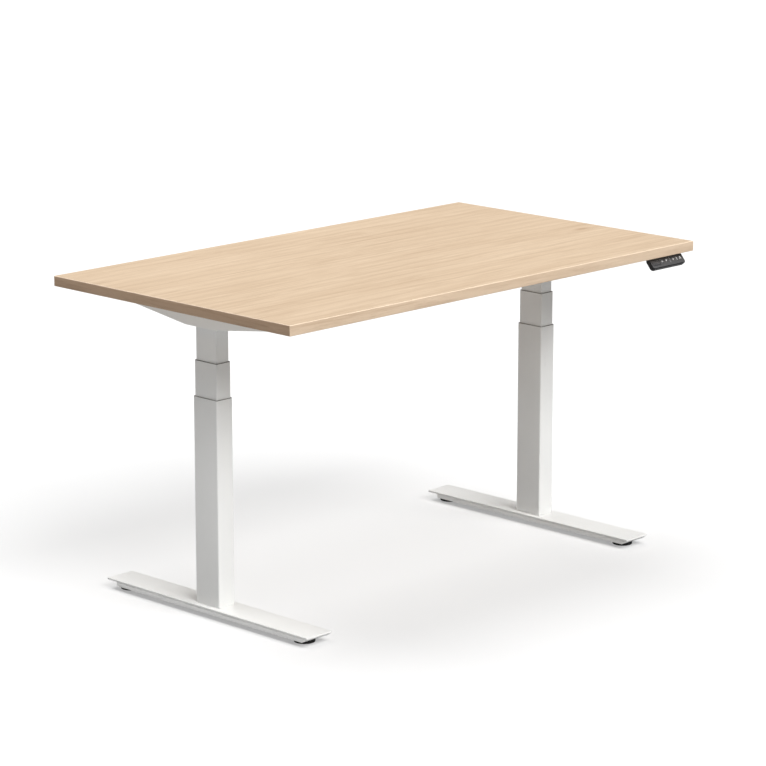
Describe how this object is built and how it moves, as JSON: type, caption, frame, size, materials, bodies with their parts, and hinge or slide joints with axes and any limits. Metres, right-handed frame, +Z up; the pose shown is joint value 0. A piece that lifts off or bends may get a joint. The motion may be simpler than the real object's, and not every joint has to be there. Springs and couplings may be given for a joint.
{
  "type": "height adjustable standing desk",
  "caption": "Rectangular oak worktop on a white T-foot frame with telescopic electric lifting columns, a push-button handset and levelling pads.",
  "frame": {"origin": "on the floor under the middle of the worktop", "axes": "+X along the worktop to the user's right, -Y towards the user, +Z up"},
  "size_m": [1.4, 0.8, 0.7756],
  "materials": {
    "oak_face": "light oak laminate, matt, straight grain along the length",
    "oak_edge": "light oak edge band, matt",
    "white_coat": "white powder coat, fine texture",
    "steel": "zinc plated steel",
    "aluminium": "die cast aluminium",
    "white_plastic": "moulded white acetal",
    "black_plastic": "black moulded plastic, fine texture",
    "grey_plastic": "dark grey satin plastic",
    "display_window": "smoked glossy window",
    "circuit_board": "green solder mask",
    "pad_rubber": "black matt rubber"
  },
  "bodies": {
    "lower_legs": {"left_outer_tube": "white_coat", "left_outer_glide": "grey_plastic", "left_base_plate": "steel", "left_lower_screw": "steel", "left_foot_plate": "white_coat", "left_foot_channel": "white_coat", "right_outer_tube": "white_coat", "right_outer_glide": "grey_plastic", "right_base_plate": "steel", "right_lower_screw": "steel", "right_foot_plate": "white_coat", "right_foot_channel": "white_coat"},
    "desk_top": {"worktop_board": "oak_face", "edge_band_front": "oak_edge", "edge_band_rear": "oak_edge", "edge_band_left": "oak_edge", "edge_band_right": "oak_edge", "front_crossbeam_left": "white_coat", "front_crossbeam_right": "white_coat", "rear_crossbeam_left": "white_coat", "rear_crossbeam_right": "white_coat", "control_box_tray": "black_plastic", "control_box_cover": "black_plastic", "control_circuit_board": "circuit_board", "control_box_sockets": "black_plastic", "mains_inlet": "black_plastic", "handset_housing": "black_plastic", "handset_face": "grey_plastic", "handset_display": "display_window", "handset_circuit_board": "circuit_board", "handset_mount": "black_plastic", "left_inner_tube": "white_coat", "left_inner_nut": "white_plastic", "left_gearbox": "aluminium", "left_motor": "steel", "left_side_bracket": "white_coat", "right_inner_tube": "white_coat", "right_inner_nut": "white_plastic", "right_gearbox": "aluminium", "right_motor": "steel", "right_side_bracket": "white_coat"},
    "left_middle_stage": {"left_middle_tube": "white_coat", "left_middle_glide": "grey_plastic", "left_bearing_plate": "aluminium"},
    "left_drive_tube": {"left_drive_tube": "steel"},
    "left_drive_shaft": {"left_drive_shaft": "steel"},
    "left_front_pad": {"left_front_pad": "pad_rubber"},
    "left_rear_pad": {"left_rear_pad": "pad_rubber"},
    "right_middle_stage": {"right_middle_tube": "white_coat", "right_middle_glide": "grey_plastic", "right_bearing_plate": "aluminium"},
    "right_drive_tube": {"right_drive_tube": "steel"},
    "right_drive_shaft": {"right_drive_shaft": "steel"},
    "right_front_pad": {"right_front_pad": "pad_rubber"},
    "right_rear_pad": {"right_rear_pad": "pad_rubber"},
    "button_up": {"button_up": "grey_plastic"},
    "button_down": {"button_down": "grey_plastic"},
    "button_memory_1": {"button_memory_1": "grey_plastic"},
    "button_memory_2": {"button_memory_2": "grey_plastic"},
    "button_memory_3": {"button_memory_3": "grey_plastic"}
  },
  "joints": [
    {"name": "desk_lift", "type": "slide", "parent": "lower_legs", "child": "desk_top", "axis": [0, 0, 1], "range_m": [-0.166, 0.48]},
    {"name": "left_middle_lift", "type": "slide", "parent": "lower_legs", "child": "left_middle_stage", "axis": [0, 0, 1], "range_m": [-0.083, 0.24]},
    {"name": "left_drive_tube_turn", "type": "hinge", "parent": "left_middle_stage", "child": "left_drive_tube", "pos_m": [-0.5637, 0, 0.14], "axis": [0, 0, 1], "range_deg": [-2492, 7202]},
    {"name": "left_drive_shaft_turn", "type": "hinge", "parent": "desk_top", "child": "left_drive_shaft", "pos_m": [-0.5637, 0, 0.5], "axis": [0, 0, 1], "range_deg": [-2492, 7202]},
    {"name": "left_front_pad_screw", "type": "slide", "parent": "lower_legs", "child": "left_front_pad", "axis": [0, 0, -1], "range_m": [0, 0.005]},
    {"name": "left_rear_pad_screw", "type": "slide", "parent": "lower_legs", "child": "left_rear_pad", "axis": [0, 0, -1], "range_m": [0, 0.005]},
    {"name": "right_middle_lift", "type": "slide", "parent": "lower_legs", "child": "right_middle_stage", "axis": [0, 0, 1], "range_m": [-0.083, 0.24]},
    {"name": "right_drive_tube_turn", "type": "hinge", "parent": "right_middle_stage", "child": "right_drive_tube", "pos_m": [0.5637, 0, 0.14], "axis": [0, 0, 1], "range_deg": [-2492, 7202]},
    {"name": "right_drive_shaft_turn", "type": "hinge", "parent": "desk_top", "child": "right_drive_shaft", "pos_m": [0.5637, 0, 0.5], "axis": [0, 0, 1], "range_deg": [-2492, 7202]},
    {"name": "right_front_pad_screw", "type": "slide", "parent": "lower_legs", "child": "right_front_pad", "axis": [0, 0, -1], "range_m": [0, 0.005]},
    {"name": "right_rear_pad_screw", "type": "slide", "parent": "lower_legs", "child": "right_rear_pad", "axis": [0, 0, -1], "range_m": [0, 0.005]},
    {"name": "button_up_press", "type": "slide", "parent": "desk_top", "child": "button_up", "axis": [0, 0.766, -0.6428], "range_m": [0, 0.0008], "stiffness_N_per_m": 1500, "springref_m": -0.0005},
    {"name": "button_down_press", "type": "slide", "parent": "desk_top", "child": "button_down", "axis": [0, 0.766, -0.6428], "range_m": [0, 0.0008], "stiffness_N_per_m": 1500, "springref_m": -0.0005},
    {"name": "button_memory_1_press", "type": "slide", "parent": "desk_top", "child": "button_memory_1", "axis": [0, 0.766, -0.6428], "range_m": [0, 0.0008], "stiffness_N_per_m": 1500, "springref_m": -0.0005},
    {"name": "button_memory_2_press", "type": "slide", "parent": "desk_top", "child": "button_memory_2", "axis": [0, 0.766, -0.6428], "range_m": [0, 0.0008], "stiffness_N_per_m": 1500, "springref_m": -0.0005},
    {"name": "button_memory_3_press", "type": "slide", "parent": "desk_top", "child": "button_memory_3", "axis": [0, 0.766, -0.6428], "range_m": [0, 0.0008], "stiffness_N_per_m": 1500, "springref_m": -0.0005}
  ],
  "couplings": [
    {"joint": "left_middle_lift", "follows": "desk_lift", "ratio": 0.5},
    {"joint": "left_drive_tube_turn", "follows": "desk_lift", "rad_per_m": 261.8},
    {"joint": "left_drive_shaft_turn", "follows": "desk_lift", "rad_per_m": 261.8},
    {"joint": "right_middle_lift", "follows": "desk_lift", "ratio": 0.5},
    {"joint": "right_drive_tube_turn", "follows": "desk_lift", "rad_per_m": 261.8},
    {"joint": "right_drive_shaft_turn", "follows": "desk_lift", "rad_per_m": 261.8}
  ]
}
